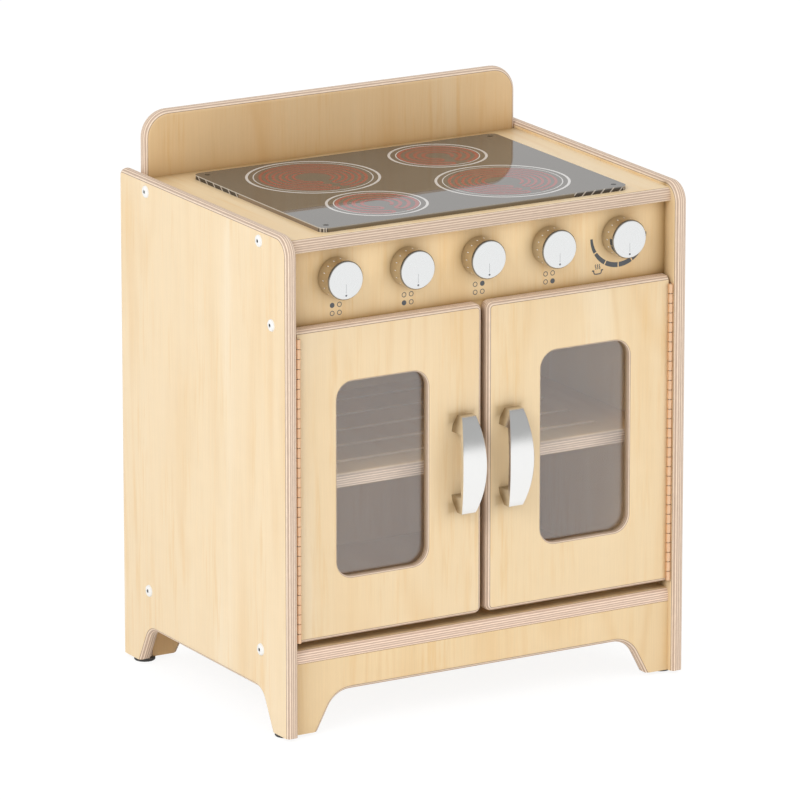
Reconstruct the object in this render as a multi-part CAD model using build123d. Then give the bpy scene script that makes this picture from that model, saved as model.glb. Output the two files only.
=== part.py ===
from build123d import *
import os
from math import radians, tan

# Toy oven: a plywood cabinet with a hob, five turning knobs and two glazed doors.
# Millimetres. X runs to the right, Y to the back and Z up. The origin is on the floor,
# in the middle of the width and of the depth with the door handles counted in.

# Cabinet
overall_width = 508.0
overall_height = 632.0
side_depth = 378.0
ply = 15.0
edge_flat = 1.0
edge_break = 1.0
glide_height = 4.0
glide_radius = 12.0
glide_side_inset = 13.0
glide_front_inset = 28.0
glide_chamfer = 0.8
backsplash_rise = 67.0
backsplash_corner = 30.0
side_top_corner = 23.0
side_rear_corner = 8.0
worktop_drop = 7.0
worktop_recess = 13.0
back_recess = 20.0
base_recess = 10.0
board_rise = 80.0

# Feet and the arches between them
arch_height = 41.5
foot_slope = 62.0
foot_tip_round = 6.0
foot_corner = 1.5
side_foot_front = 38.0
side_foot_rear = 42.0
side_arch_round = 20.0
apron_foot = 30.0
back_foot = 37.0
apron_arch_round = 30.0

# Rack shelf
shelf_rise = 181.5
shelf_front = 45.0
shelf_end_gap = 1.0
rack_slot_width = 9.0
rack_slot_count = 5
rack_slot_pitch = 55.0
rack_first_slot = 46.0
rack_slot_end = 47.0
pin_radius = 2.5
pin_depth = 10.0
pin_reach = 9.0
pin_front_inset = 85.0
pin_rear_inset = 78.0

# Control panel and knobs
control_height = 95.3
door_stop_gap = 0.5
knob_count = 5
knob_radius = 21.75
knob_height = 24.0
knob_end_inset = 59.7
knob_drop = 33.6
knob_wall = 2.25
knob_front_wall = 3.0
knob_foot_gap = 0.5
knob_chamfer = 0.6
knob_boss_radius = 8.0
cap_radius = 20.75
cap_thickness = 1.2
spindle_radius = 4.0
spindle_tail = 10.0
bush_radius = 6.0
bush_flange_radius = 10.0
bush_flange = 1.2
running_gap = 0.05
end_play = 0.3
washer_radius = 8.0
washer_thickness = 1.2
nut_across_flats = 13.0
nut_thickness = 6.5

# Hob
hob_side_margin = 45.0
hob_front_margin = 15.0
hob_rear_margin = 27.0
hob_thickness = 5.0
hob_corner = 9.0
hob_screw_inset = 12.0
hob_screw_head = 3.2
hob_screw_shank = 1.6
hob_screw_length = 17.0

# Doors
door_recess = 9.5
door_hinge_gap = 3.5
door_centre_gap = 6.0
door_bottom_gap = 8.0
door_overlap = 11.3
door_corner = 8.0
stile_hinge = 50.0
stile_free = 69.1
rail_top = 65.5
rail_bottom = 67.4
window_corner = 19.0
window_edge_round = 3.5
rebate_width = 8.0
rebate_depth = 6.0
pane_thickness = 4.0
pane_gap = 0.5

# Window clips
clip_width = 14.0
clip_thickness = 1.6
clip_on_wood = 10.0
clip_on_pane = 4.8
clip_gap = 0.2
clip_half_spacing = 30.0
clip_screw_shank = 1.5
clip_screw_head = 3.0
clip_screw_head_height = 1.8
clip_screw_bite = 8.0

# Handles
handle_inset = 27.0
handle_lift = 1.4
handle_length = 110.6
handle_end_width = 17.6
handle_mid_width = 30.0
handle_end_reach = 17.0
handle_mid_reach = 30.6
handle_strip = 5.0
handle_foot_inner = 35.9
handle_foot_outer = 43.0
handle_foot_rise = 6.0
handle_edge = 0.8
handle_screw_shank = 2.0
handle_screw_head = 4.0
handle_screw_head_height = 2.6
handle_screw_bite = 9.0

# Piano hinges
knuckle_radius = 2.7
knuckle_pitch = 10.95
knuckle_gap = 0.9
hinge_pin_radius = 1.3
leaf_thickness = 0.9
leaf_back_gap = 1.0
hinge_bottom_gap = 2.5
hinge_top_gap = 8.0
barrel_wall_gap = 0.25
barrel_depth = 6.5
barrel_leaf_gap = 0.4
leaf_screw_count = 5
leaf_screw_shank = 1.25
leaf_screw_length = 11.0
leaf_screw_end_inset = 24.0

# Cabinet bolts and their barrel nuts
bolt_head_radius = 6.9
bolt_head_height = 2.4
bolt_radius = 3.0
bolt_front_inset = 59.0
bolt_rear_inset = 64.0
bolt_recess_flats = 4.0
bolt_recess_depth = 1.8
barrel_nut_radius = 5.0
barrel_nut_length = 11.0
barrel_nut_inset = 32.0
control_bolt_rise = 15.0

# Back screws and apron dowels
back_screw_head = 4.2
back_screw_shank = 2.0
back_screw_length = 40.0
back_screw_end_inset = 60.0
dowel_radius = 4.0
dowel_length = 24.0
dowel_in_board = 10.0
dowel_end_inset = 90.0

# Magnetic catch
catch_width = 46.0
catch_height = 12.0
catch_gap = 0.3
magnet_width = 14.0
magnet_height = 6.0
magnet_thickness = 4.0
magnet_offset = 13.0
strike_width = 20.0
strike_height = 10.0
strike_thickness = 1.2
strike_edge_inset = 5.0
catch_screw_offset = 3.0
catch_screw_head = 2.6
catch_screw_shank = 1.25
catch_screw_length = 20.0

# Places worked out from the sizes above
front_y = (handle_mid_reach - door_recess - side_depth) / 2
edge_round = (ply - edge_flat) / 2
inner_width = overall_width - 2 * ply
inner_x = inner_width / 2
side_top = overall_height - backsplash_rise
worktop_top = side_top - worktop_drop
worktop_bottom = worktop_top - ply
control_bottom = worktop_bottom - control_height
board_bottom = glide_height + board_rise
board_top = board_bottom + ply
back_front = side_depth - back_recess - ply
shelf_top = board_top + shelf_rise
shelf_bottom = shelf_top - ply
door_bottom = board_top + door_bottom_gap
door_top = control_bottom + door_overlap
door_back = door_recess + ply
control_recess = door_back + door_stop_gap
door_hinge_x = -inner_x + door_hinge_gap
door_free_x = -door_centre_gap / 2
door_mid_z = (door_bottom + door_top) / 2
window_x = (door_hinge_x + stile_hinge, door_free_x - stile_free)
window_z = (door_bottom + rail_bottom, door_top - rail_top)
handle_x = door_free_x - handle_inset
handle_z = door_mid_z + handle_lift
handle_screw_z = (handle_foot_inner + handle_foot_outer) / 2
hinge_x = -inner_x + barrel_wall_gap + knuckle_radius
hinge_bottom = door_bottom + hinge_bottom_gap
hinge_length = door_top - hinge_top_gap - hinge_bottom
knob_z = worktop_bottom - knob_drop
knob_pitch = (inner_width - 2 * knob_end_inset) / (knob_count - 1)
knob_xs = [-inner_x + knob_end_inset + i * knob_pitch for i in range(knob_count)]


def y_at(depth):
    """Y of a depth behind the front edge of the side panels."""
    return front_y + depth


def block(x, depth, z):
    """A box between two values of x, of depth and of z."""
    size = (x[1] - x[0], depth[1] - depth[0], z[1] - z[0])
    middle = ((x[0] + x[1]) / 2, y_at((depth[0] + depth[1]) / 2), (z[0] + z[1]) / 2)
    return Pos(*middle) * Box(*size)


def rod(radius, start, end):
    """A round bar from one point to another, along X, Y or Z."""
    run = Vector(*end) - Vector(*start)
    plane = Plane(origin=start, z_dir=run)
    return extrude(plane * Circle(radius), amount=run.length)


def turned(profile, start, direction):
    """A body of revolution: the profile's points are (radius, height along the direction)."""
    face = make_face(Plane.XZ * Polyline(*profile, close=True))
    return Plane(origin=start, z_dir=direction) * revolve(face, Axis.Z)


def countersunk(head, shank, length, start, direction):
    """A flush screw whose flat head faces away from the direction."""
    profile = [(0, 0), (head, 0), (shank, head - shank), (shank, length), (0, length)]
    return turned(profile, start, direction)


def panhead(head, height, shank, length, start, direction):
    """A screw that seats at the start point, with its rounded head behind it."""
    crown = [(0, -height), (head * 0.6, -height), (head, -height * 0.4), (head, 0)]
    return turned(crown + [(shank, 0), (shank, length), (0, length)], start, direction)


def rounded(face, corners):
    """The face with each named corner rounded: corners holds ((x, y), radius) pairs."""
    for point, radius in corners:
        vertex = face.vertices().sort_by_distance((*point, 0))[0]
        face = fillet(vertex, radius)
    return face


def front_plane(depth):
    """A plane that faces the front, with its x along X and its y along Z."""
    return Plane(origin=(0, y_at(depth), 0), x_dir=(1, 0, 0), z_dir=(0, -1, 0))


def other_side(shape):
    """The shape's mirror image on the other side of the cabinet."""
    return mirror(shape, about=Plane.YZ)


def drilled(board, tools):
    """The board less every tool in the list."""
    for tool in tools:
        board = board - tool
    return board


def arch_points(start, end, top, extra=0.0):
    """The four corners of an arch whose slanted feet end at start and end, or run on by extra."""
    base = glide_height
    slope = tan(radians(foot_slope))
    lean = (top - base) / slope
    run = extra / slope
    corners = [(start - run, base - extra), (start + lean, top)]
    return corners + [(end - lean, top), (end + run, base - extra)]


def board_between(longer, outline, plane, axis, way):
    """A board with its edges rounded along the longer outline, sawn off along the other one."""
    board = extrude(plane * longer, amount=ply)
    faces = board.faces().sort_by(axis)
    edges = [edge for edge in faces[0].edges() + faces[-1].edges() if way(edge)]
    board = fillet(edges, edge_round)
    return board & extrude(plane * outline, amount=ply)


def nosed(board):
    """The board with its front top edge rounded over and its front bottom edge broken."""
    front = board.faces().sort_by(Axis.Y)[0]
    board = fillet(front.edges().filter_by(Axis.X).sort_by(Axis.Z)[0], edge_break)
    front = board.faces().filter_by(Axis.Y).sort_by(Axis.Y)[0]
    return fillet(front.edges().filter_by(Axis.X).sort_by(Axis.Z)[-1], edge_round)


# Bolts that join the boards to the side panels, as (depth, z, way that the barrel nut goes in)
worktop_mid = (worktop_bottom + worktop_top) / 2
board_mid = (board_bottom + board_top) / 2
bolt_depths = (bolt_front_inset, side_depth - bolt_rear_inset)
control_mid = control_recess + ply / 2
bolt_places = [(depth, worktop_mid, (0, 0, 1)) for depth in bolt_depths]
bolt_places += [(depth, board_mid, (0, 0, 1)) for depth in bolt_depths]
bolt_places += [(control_mid, control_bottom + control_bolt_rise, (0, -1, 0))]
leaf_screw_zs = [
    hinge_bottom + leaf_screw_end_inset
    + i * (hinge_length - 2 * leaf_screw_end_inset) / (leaf_screw_count - 1)
    for i in range(leaf_screw_count)
]
leaf_screw_depth = (barrel_depth + knuckle_radius + barrel_leaf_gap + door_back - leaf_back_gap) / 2
pin_depths = (pin_front_inset, side_depth - pin_rear_inset)
pin_z = shelf_bottom - pin_radius
back_screw_xs = [-inner_x + back_screw_end_inset, 0, inner_x - back_screw_end_inset]
dowel_xs = [-inner_x + dowel_end_inset, 0, inner_x - dowel_end_inset]


def bolt_seat(depth, z):
    """Where a bolt head sits on the left side panel."""
    return (-overall_width / 2, y_at(depth), z)


def bolt_hole(depth, z):
    """The hole of a left bolt, through the side panel and on past its barrel nut."""
    end = -inner_x + barrel_nut_inset + barrel_nut_radius
    return rod(bolt_radius, bolt_seat(depth, z), (end, y_at(depth), z))


def cabinet_bolt(depth, z):
    """A bolt with a domed head and a hexagon recess, on the left side."""
    seat = bolt_seat(depth, z)
    length = ply + barrel_nut_inset + barrel_nut_radius
    dome = [(0, -bolt_head_height), (bolt_head_radius * 0.55, -bolt_head_height)]
    rim = [(bolt_head_radius * 0.9, -bolt_head_height * 0.6), (bolt_head_radius, 0)]
    shank = [(bolt_radius, 0), (bolt_radius, length), (0, length)]
    bolt = turned(dome + rim + shank, seat, (1, 0, 0))
    recess_plane = Plane(origin=(seat[0] - bolt_head_height, seat[1], seat[2]), z_dir=(1, 0, 0))
    hexagon = RegularPolygon(bolt_recess_flats / 2, 6, major_radius=False)
    return bolt - extrude(recess_plane * hexagon, amount=bolt_recess_depth)


def barrel_nut(depth, z, way):
    """A round nut across a left bolt, centred on the bolt's axis."""
    centre = Vector(-inner_x + barrel_nut_inset, y_at(depth), z)
    half = Vector(*way) * (barrel_nut_length / 2)
    nut = rod(barrel_nut_radius, tuple(centre - half), tuple(centre + half))
    return nut - bolt_hole(depth, z)


def barrel_hole(depth, z, way):
    """The blind hole that a left barrel nut goes into, open on the board's hidden face."""
    centre = Vector(-inner_x + barrel_nut_inset, y_at(depth), z)
    start = centre - Vector(*way) * (ply / 2)
    end = centre + Vector(*way) * (barrel_nut_length / 2)
    return rod(barrel_nut_radius, tuple(start), tuple(end))


def both_sides(tools):
    """The tools and their mirror images."""
    return tools + [other_side(tool) for tool in tools]


def side_panel():
    """The left side: one board with rounded edges and an arch between its feet."""
    def outline(extra):
        base = glide_height - extra
        rear_start = side_depth - side_foot_rear
        arch = arch_points(side_foot_front, rear_start, glide_height + arch_height, extra)
        points = [(0, base), *arch, (side_depth, base), (side_depth, side_top), (0, side_top)]
        corners = [(arch[1], side_arch_round), (arch[2], side_arch_round)]
        corners += [((side_depth, side_top), side_rear_corner), ((0, side_top), side_top_corner)]
        if not extra:
            corners += [(arch[0], foot_tip_round), (arch[3], foot_tip_round)]
            corners += [((0, base), foot_corner), ((side_depth, base), foot_corner)]
        return rounded(make_face(Polyline(*points, close=True)), corners)

    plane = Plane(origin=(-overall_width / 2, front_y, 0), x_dir=(0, 1, 0), z_dir=(1, 0, 0))
    board = board_between(outline(2 * edge_round), outline(0), plane, Axis.X, lambda edge: True)
    holes = [bolt_hole(depth, z) for depth, z, _ in bolt_places]
    holes += [
        rod(pin_radius, (-inner_x, y_at(depth), pin_z), (-inner_x - pin_depth, y_at(depth), pin_z))
        for depth in pin_depths
    ]
    holes += [frame_leaf_screw(z) for z in leaf_screw_zs]
    return drilled(board, holes)


def back_panel():
    """The back, with its feet below and the rounded backsplash above."""
    def outline(extra):
        base = glide_height - extra
        arch_top = glide_height + arch_height
        arch = arch_points(-inner_x + back_foot, inner_x - back_foot, arch_top, extra)
        top_corners = [(inner_x, overall_height), (-inner_x, overall_height)]
        points = [(-inner_x, base), *arch, (inner_x, base), *top_corners]
        corners = [(arch[1], apron_arch_round), (arch[2], apron_arch_round)]
        corners += [(corner, backsplash_corner) for corner in top_corners]
        if not extra:
            corners += [(arch[0], foot_tip_round), (arch[3], foot_tip_round)]
        return rounded(make_face(Polyline(*points, close=True)), corners)

    plane = front_plane(back_front + ply)
    board = board_between(outline(2 * edge_round), outline(0), plane, Axis.Y, lambda edge: True)
    return drilled(board, back_screw_solids())


def worktop():
    """The board that carries the hob, with its front edge rounded."""
    board = block((-inner_x, inner_x), (worktop_recess, back_front), (worktop_bottom, worktop_top))
    tools = [bolt_hole(depth, z) for depth, z, _ in bolt_places if z == worktop_mid]
    tools += [barrel_hole(*place) for place in bolt_places if place[1] == worktop_mid]
    return drilled(nosed(board), both_sides(tools) + back_screw_solids() + hob_screw_solids())


def control_panel():
    """The upright board behind the knobs, whose lower strip the doors close over."""
    depth = (control_recess, control_recess + ply)
    board = block((-inner_x, inner_x), depth, (control_bottom, worktop_bottom))
    place = bolt_places[-1]
    tools = both_sides([bolt_hole(*place[:2]), barrel_hole(*place)])
    for x in knob_xs:
        tools.append(rod(bush_radius, (x, y_at(depth[0]), knob_z), (x, y_at(depth[1]), knob_z)))
    return drilled(board, tools + catch_screw_solids())


def bottom_board():
    """The floor of the oven, flush in front with the apron."""
    board = block((-inner_x, inner_x), (base_recess, back_front), (board_bottom, board_top))
    tools = [bolt_hole(depth, z) for depth, z, _ in bolt_places if z == board_mid]
    tools += [barrel_hole(*place) for place in bolt_places if place[1] == board_mid]
    return drilled(nosed(board), both_sides(tools) + back_screw_solids() + dowel_solids())


def front_apron():
    """The board under the oven floor, cut out between its two feet."""
    arch_top = glide_height + arch_height

    def outline(extra):
        base = glide_height - extra
        arch = arch_points(-inner_x + apron_foot, inner_x - apron_foot, arch_top, extra)
        top_corners = [(inner_x, board_bottom), (-inner_x, board_bottom)]
        points = [(-inner_x, base), *arch, (inner_x, base), *top_corners]
        corners = [(arch[1], apron_arch_round), (arch[2], apron_arch_round)]
        if not extra:
            corners += [(arch[0], foot_tip_round), (arch[3], foot_tip_round)]
        return rounded(make_face(Polyline(*points, close=True)), corners)

    def along_arch(edge):
        box = edge.bounding_box()
        return box.max.Z < arch_top + 1 and box.min.X > -inner_x + 1 and box.max.X < inner_x - 1

    plane = front_plane(base_recess + ply)
    board = board_between(outline(2 * edge_round), outline(0), plane, Axis.Y, along_arch)
    return drilled(board, dowel_solids())


def rack_shelf():
    """The oven rack: a board with a row of long slots."""
    half = inner_x - shelf_end_gap
    board = block((-half, half), (shelf_front, back_front), (shelf_bottom, shelf_top))
    board = nosed(board)
    slot_length = 2 * (half - rack_slot_end)
    for i in range(rack_slot_count):
        depth = shelf_front + rack_first_slot + i * rack_slot_pitch
        slot = Pos(0, y_at(depth), shelf_bottom) * SlotOverall(slot_length, rack_slot_width)
        board = board - extrude(slot, amount=ply)
    return board


def shelf_pin_solids():
    """Four pins in blind holes of the side panels, with the shelf resting on them."""
    ends = (-inner_x - pin_depth, -inner_x + pin_reach)
    pins = [
        rod(pin_radius, (ends[0], y_at(depth), pin_z), (ends[1], y_at(depth), pin_z))
        for depth in pin_depths
    ]
    return both_sides(pins)


def glide_solids():
    """Rubber pads under the corners, where the side panels meet the front and back feet."""
    pads = []
    for depth in (glide_front_inset, back_front + ply / 2):
        centre = (-overall_width / 2 + glide_side_inset, y_at(depth), 0)
        inner = glide_radius - glide_chamfer
        profile = [(0, 0), (inner, 0), (glide_radius, glide_chamfer), (glide_radius, glide_height)]
        pads.append(turned(profile + [(0, glide_height)], centre, (0, 0, 1)))
    return both_sides(pads)


def hob_limits():
    """The hob plate's limits in x and in depth."""
    half = inner_x - hob_side_margin
    return (-half, half), (worktop_recess + hob_front_margin, back_front - hob_rear_margin)


def hob_screw_solids():
    """Four flush screws near the corners of the hob plate, down into the worktop."""
    xs, depths = hob_limits()
    top = worktop_top + hob_thickness
    corners = [
        (x, y_at(depth), top)
        for x in (xs[0] + hob_screw_inset, xs[1] - hob_screw_inset)
        for depth in (depths[0] + hob_screw_inset, depths[1] - hob_screw_inset)
    ]
    length = min(hob_screw_length, hob_thickness + ply - 1)
    return [countersunk(hob_screw_head, hob_screw_shank, length, corner, (0, 0, -1)) for corner in corners]


def hob_plate():
    """The flat acrylic plate on the worktop, with rounded corners."""
    xs, depths = hob_limits()
    plate = block(xs, depths, (worktop_top, worktop_top + hob_thickness))
    plate = fillet(plate.edges().filter_by(Axis.Z), hob_corner)
    return drilled(plate, hob_screw_solids())


def back_screw_solids():
    """Flush screws through the back panel into the worktop and the oven floor."""
    return [
        countersunk(
            back_screw_head, back_screw_shank, back_screw_length,
            (x, y_at(back_front + ply), z), (0, -1, 0),
        )
        for x in back_screw_xs
        for z in (board_mid, worktop_mid)
    ]


def dowel_solids():
    """Dowels between the apron and the oven floor."""
    mid = y_at(base_recess + ply / 2)
    bottom = board_bottom + dowel_in_board - dowel_length
    return [rod(dowel_radius, (x, mid, bottom), (x, mid, bottom + dowel_length)) for x in dowel_xs]


def bush(x):
    """A nylon bush in the control panel, with its flange under the knob."""
    start = (x, y_at(control_recess - bush_flange), knob_z)
    bore = spindle_radius + running_gap
    end = bush_flange + ply
    profile = [
        (bore, 0), (bush_flange_radius, 0), (bush_flange_radius, bush_flange),
        (bush_radius, bush_flange), (bush_radius, end), (bore, end),
    ]
    return turned(profile, start, (0, 1, 0))


def knob_body(x):
    """The moulded knob: a skirt, a front wall and a boss on the spindle."""
    start = (x, y_at(control_recess - knob_height + cap_thickness), knob_z)
    foot = knob_height - cap_thickness - knob_foot_gap
    boss_end = knob_height - cap_thickness - bush_flange - end_play
    inside = knob_radius - knob_wall
    profile = [
        (0, 0), (knob_radius - knob_chamfer, 0), (knob_radius, knob_chamfer), (knob_radius, foot),
        (inside, foot), (inside, knob_front_wall), (knob_boss_radius, knob_front_wall),
        (knob_boss_radius, boss_end), (spindle_radius, boss_end),
        (spindle_radius, knob_front_wall), (0, knob_front_wall),
    ]
    return turned(profile, start, (0, 1, 0))


def knob_cap(x):
    """The bright disc on the face of a knob."""
    start = (x, y_at(control_recess - knob_height), knob_z)
    edge = cap_thickness / 3
    profile = [(0, 0), (cap_radius - edge, 0), (cap_radius, edge), (cap_radius, cap_thickness)]
    return turned(profile + [(0, cap_thickness)], start, (0, 1, 0))


def knob_spindle(x):
    """The spindle of a knob with the washer and the lock nut behind the panel."""
    start = control_recess - knob_height + cap_thickness + knob_front_wall
    behind = control_recess + ply + end_play
    shaft = rod(spindle_radius, (x, y_at(start), knob_z), (x, y_at(behind + spindle_tail), knob_z))
    washer = rod(washer_radius, (x, y_at(behind), knob_z), (x, y_at(behind + washer_thickness), knob_z))
    nut_plane = Plane(origin=(x, y_at(behind + washer_thickness), knob_z), z_dir=(0, 1, 0))
    hexagon = RegularPolygon(nut_across_flats / 2, 6, major_radius=False)
    nut = extrude(nut_plane * hexagon, amount=nut_thickness)
    return [shaft, washer - shaft, nut - shaft]


def door_panel():
    """The left door: a board with a window, square where the hinge goes and rounded elsewhere."""
    def outline(x, z, radius):
        centre = ((x[0] + x[1]) / 2, (z[0] + z[1]) / 2)
        return Pos(*centre) * RectangleRounded(x[1] - x[0], z[1] - z[0], radius)

    def outer_edges(face):
        return [
            edge for edge in face.outer_wire().edges()
            if edge.bounding_box().max.X > door_hinge_x + 1
        ]

    width, height = door_free_x - door_hinge_x, door_top - door_bottom
    face = Pos(door_hinge_x + width / 2, door_mid_z) * Rectangle(width, height)
    free_corners = [((door_free_x, z), door_corner) for z in (door_bottom, door_top)]
    board = extrude(front_plane(door_back) * rounded(face, free_corners), amount=ply)
    board = board - extrude(front_plane(door_back) * outline(window_x, window_z, window_corner), amount=ply)
    board = fillet(outer_edges(board.faces().sort_by(Axis.Y)[0]), edge_round)
    board = fillet(outer_edges(board.faces().sort_by(Axis.Y)[-1]), edge_break)
    front = board.faces().filter_by(Axis.Y).sort_by(Axis.Y)[0]
    board = fillet(front.inner_wires()[0].edges(), window_edge_round)
    wide_x = (window_x[0] - rebate_width, window_x[1] + rebate_width)
    wide_z = (window_z[0] - rebate_width, window_z[1] + rebate_width)
    rebate = outline(wide_x, wide_z, window_corner + rebate_width)
    board = board - extrude(front_plane(door_back) * rebate, amount=rebate_depth)
    tools = clip_screw_solids() + handle_screw_solids() + [door_leaf_screw(z) for z in leaf_screw_zs]
    return drilled(board, tools)


def window_pane():
    """The smoked acrylic pane in the left door's rebate."""
    grow = rebate_width - pane_gap
    width = window_x[1] - window_x[0] + 2 * grow
    height = window_z[1] - window_z[0] + 2 * grow
    centre = ((window_x[0] + window_x[1]) / 2, (window_z[0] + window_z[1]) / 2)
    face = Pos(*centre) * RectangleRounded(width, height, window_corner + grow)
    return extrude(front_plane(door_back - rebate_depth + pane_thickness) * face, amount=pane_thickness)


def clip_places():
    """Where the clips of the left door lie, as (x, z of the window's edge, way outwards)."""
    middle = (window_x[0] + window_x[1]) / 2
    spacing = min(clip_half_spacing, (window_x[1] - window_x[0]) / 2 - window_corner)
    return [
        (middle + side * spacing, z, way)
        for side in (-1, 1)
        for z, way in ((window_z[0], -1), (window_z[1], 1))
    ]


def window_clip(x, z, way):
    """A stepped clip that reaches from the door's back down onto the pane."""
    across = (x - clip_width / 2, x + clip_width / 2)
    step = z + way * (rebate_width - clip_gap)
    outer = sorted((step, step + way * clip_on_wood))
    inner = sorted((step, step - way * clip_on_pane))
    pane_back = door_back - rebate_depth + pane_thickness
    wing = block(across, (door_back, door_back + clip_thickness), outer)
    foot = block(across, (pane_back, door_back + clip_thickness), inner)
    hole_z = step + way * clip_on_wood / 2
    hole = rod(clip_screw_shank, (x, y_at(door_back), hole_z), (x, y_at(door_back + clip_thickness), hole_z))
    return wing + foot - hole


def clip_screw_solids():
    """The screws of the left door's clips, driven in from the back."""
    outwards = rebate_width - clip_gap + clip_on_wood / 2
    seats = [(x, y_at(door_back + clip_thickness), z + way * outwards) for x, z, way in clip_places()]
    head = (clip_screw_head, clip_screw_head_height)
    shank = (clip_screw_shank, clip_thickness + clip_screw_bite)
    return [panhead(*head, *shank, seat, (0, -1, 0)) for seat in seats]


def handle():
    """The left bow handle: a bowed strip, wider in the middle, on two slanted feet."""
    half = handle_length / 2

    def at(reach, z):
        return (-reach, z)

    front = ThreePointArc(at(handle_end_reach, half), at(handle_mid_reach, 0), at(handle_end_reach, -half))
    inner_mid = handle_mid_reach - handle_strip
    drop = (handle_mid_reach - handle_end_reach) * (handle_foot_inner / half) ** 2
    inner_end = inner_mid - drop
    lower = Polyline(
        at(handle_end_reach, -half), at(handle_foot_rise, -half), at(0, -handle_foot_outer),
        at(0, -handle_foot_inner), at(inner_end, -handle_foot_inner),
    )
    corners = (at(inner_end, -handle_foot_inner), at(inner_end, handle_foot_inner))
    inside = ThreePointArc(corners[0], at(inner_mid, 0), corners[1])
    upper = Polyline(
        at(inner_end, handle_foot_inner), at(0, handle_foot_inner), at(0, handle_foot_outer),
        at(handle_foot_rise, half), at(handle_end_reach, half),
    )
    profile = make_face([front, lower, inside, upper])
    side_plane = Plane(origin=(0, y_at(door_recess), 0), x_dir=(0, 1, 0), z_dir=(1, 0, 0))
    bow = extrude(side_plane * profile, amount=handle_mid_width, both=True)
    end, mid = handle_end_width / 2, handle_mid_width / 2
    lens = make_face([
        ThreePointArc((end, -half), (mid, 0), (end, half)),
        Line((end, half), (-end, half)),
        ThreePointArc((-end, half), (-mid, 0), (-end, -half)),
        Line((-end, -half), (end, -half)),
    ])
    cutter = extrude(front_plane(door_recess) * lens, amount=handle_mid_reach + 1)
    solid = bow & cutter
    face = solid.faces().filter_by(GeomType.CYLINDER).sort_by(Axis.Y)[0]
    solid = chamfer(face.edges(), handle_edge)
    return drilled(Pos(handle_x, 0, handle_z) * solid, handle_screw_solids())


def handle_screw_solids():
    """Two screws from the back of the left door into the handle's feet."""
    seats = [(handle_x, y_at(door_back), handle_z + way * handle_screw_z) for way in (-1, 1)]
    head = (handle_screw_head, handle_screw_head_height)
    shank = (handle_screw_shank, ply + handle_screw_bite)
    return [panhead(*head, *shank, seat, (0, -1, 0)) for seat in seats]


def knuckles(first):
    """The left hinge's knuckle limits in z: every second one, from the first given."""
    count = 2 * round((hinge_length / knuckle_pitch - 1) / 2) + 1
    pitch = hinge_length / count
    half_gap = knuckle_gap / 2
    return [
        (hinge_bottom + i * pitch + half_gap, hinge_bottom + (i + 1) * pitch - half_gap)
        for i in range(first, count, 2)
    ]


def hinge_leaf(plate_x, tab_depth, zs, screws):
    """A leaf of the left hinge: a plate with tabs that run into its own knuckles."""
    plate_start = barrel_depth + knuckle_radius + barrel_leaf_gap
    plate_end = door_back - leaf_back_gap
    leaf = block(plate_x, (plate_start, plate_end), (hinge_bottom, hinge_bottom + hinge_length))
    centre_y = y_at(barrel_depth)
    pieces = []
    for low, high in zs:
        barrel = rod(knuckle_radius, (hinge_x, centre_y, low), (hinge_x, centre_y, high))
        pieces += [barrel, block(plate_x, (tab_depth, plate_start), (low, high))]
    leaf = leaf + pieces
    bore = hinge_pin_radius + running_gap
    top = hinge_bottom + hinge_length
    leaf = leaf - rod(bore, (hinge_x, centre_y, hinge_bottom), (hinge_x, centre_y, top))
    return drilled(leaf, screws)


def frame_leaf():
    """The leaf on the left side panel."""
    plate = (-inner_x, -inner_x + leaf_thickness)
    return hinge_leaf(plate, barrel_depth, knuckles(0), [frame_leaf_screw(z) for z in leaf_screw_zs])


def door_leaf():
    """The leaf on the edge of the left door."""
    plate = (door_hinge_x - leaf_thickness, door_hinge_x)
    tab_depth = barrel_depth + (hinge_pin_radius + knuckle_radius) / 2
    return hinge_leaf(plate, tab_depth, knuckles(1), [door_leaf_screw(z) for z in leaf_screw_zs])


def hinge_pin():
    """The pin through all the knuckles of the left hinge."""
    y = y_at(barrel_depth)
    return rod(hinge_pin_radius, (hinge_x, y, hinge_bottom), (hinge_x, y, hinge_bottom + hinge_length))


def leaf_screw(x, z, way):
    """A flush hinge screw whose head is as deep as the leaf is thick."""
    head = leaf_screw_shank + leaf_thickness
    start = (x, y_at(leaf_screw_depth), z)
    return countersunk(head, leaf_screw_shank, leaf_screw_length, start, (way, 0, 0))


def frame_leaf_screw(z):
    """A screw of the left frame leaf, into the side panel."""
    return leaf_screw(-inner_x + leaf_thickness, z, -1)


def door_leaf_screw(z):
    """A screw of the left door leaf, into the edge of the door."""
    return leaf_screw(door_hinge_x - leaf_thickness, z, 1)


catch_front = door_back + strike_thickness + catch_gap
catch_z = (control_bottom - catch_height, control_bottom)
strike_x = (door_free_x - strike_edge_inset - strike_width, door_free_x - strike_edge_inset)
catch_mid_z = control_bottom - catch_height / 2


def magnet(way):
    """One of the two magnets let into the front of the catch."""
    x = sorted((way * (magnet_offset - magnet_width / 2), way * (magnet_offset + magnet_width / 2)))
    z = (catch_mid_z - magnet_height / 2, catch_mid_z + magnet_height / 2)
    return block(x, (catch_front, catch_front + magnet_thickness), z)


def catch_screw_solids():
    """Two screws up through the catch into the control panel."""
    depth = control_recess + ply - catch_screw_offset - catch_screw_head
    x = magnet_offset + magnet_width / 2 - catch_screw_head
    size = (catch_screw_head, catch_screw_shank, catch_screw_length)
    return [countersunk(*size, (way * x, y_at(depth), catch_z[0]), (0, 0, 1)) for way in (-1, 1)]


def catch_body():
    """The plastic body of the double magnetic catch under the control panel."""
    half = catch_width / 2
    body = block((-half, half), (catch_front, control_recess + ply), catch_z)
    return drilled(body, [magnet(-1), magnet(1)] + catch_screw_solids())


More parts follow.
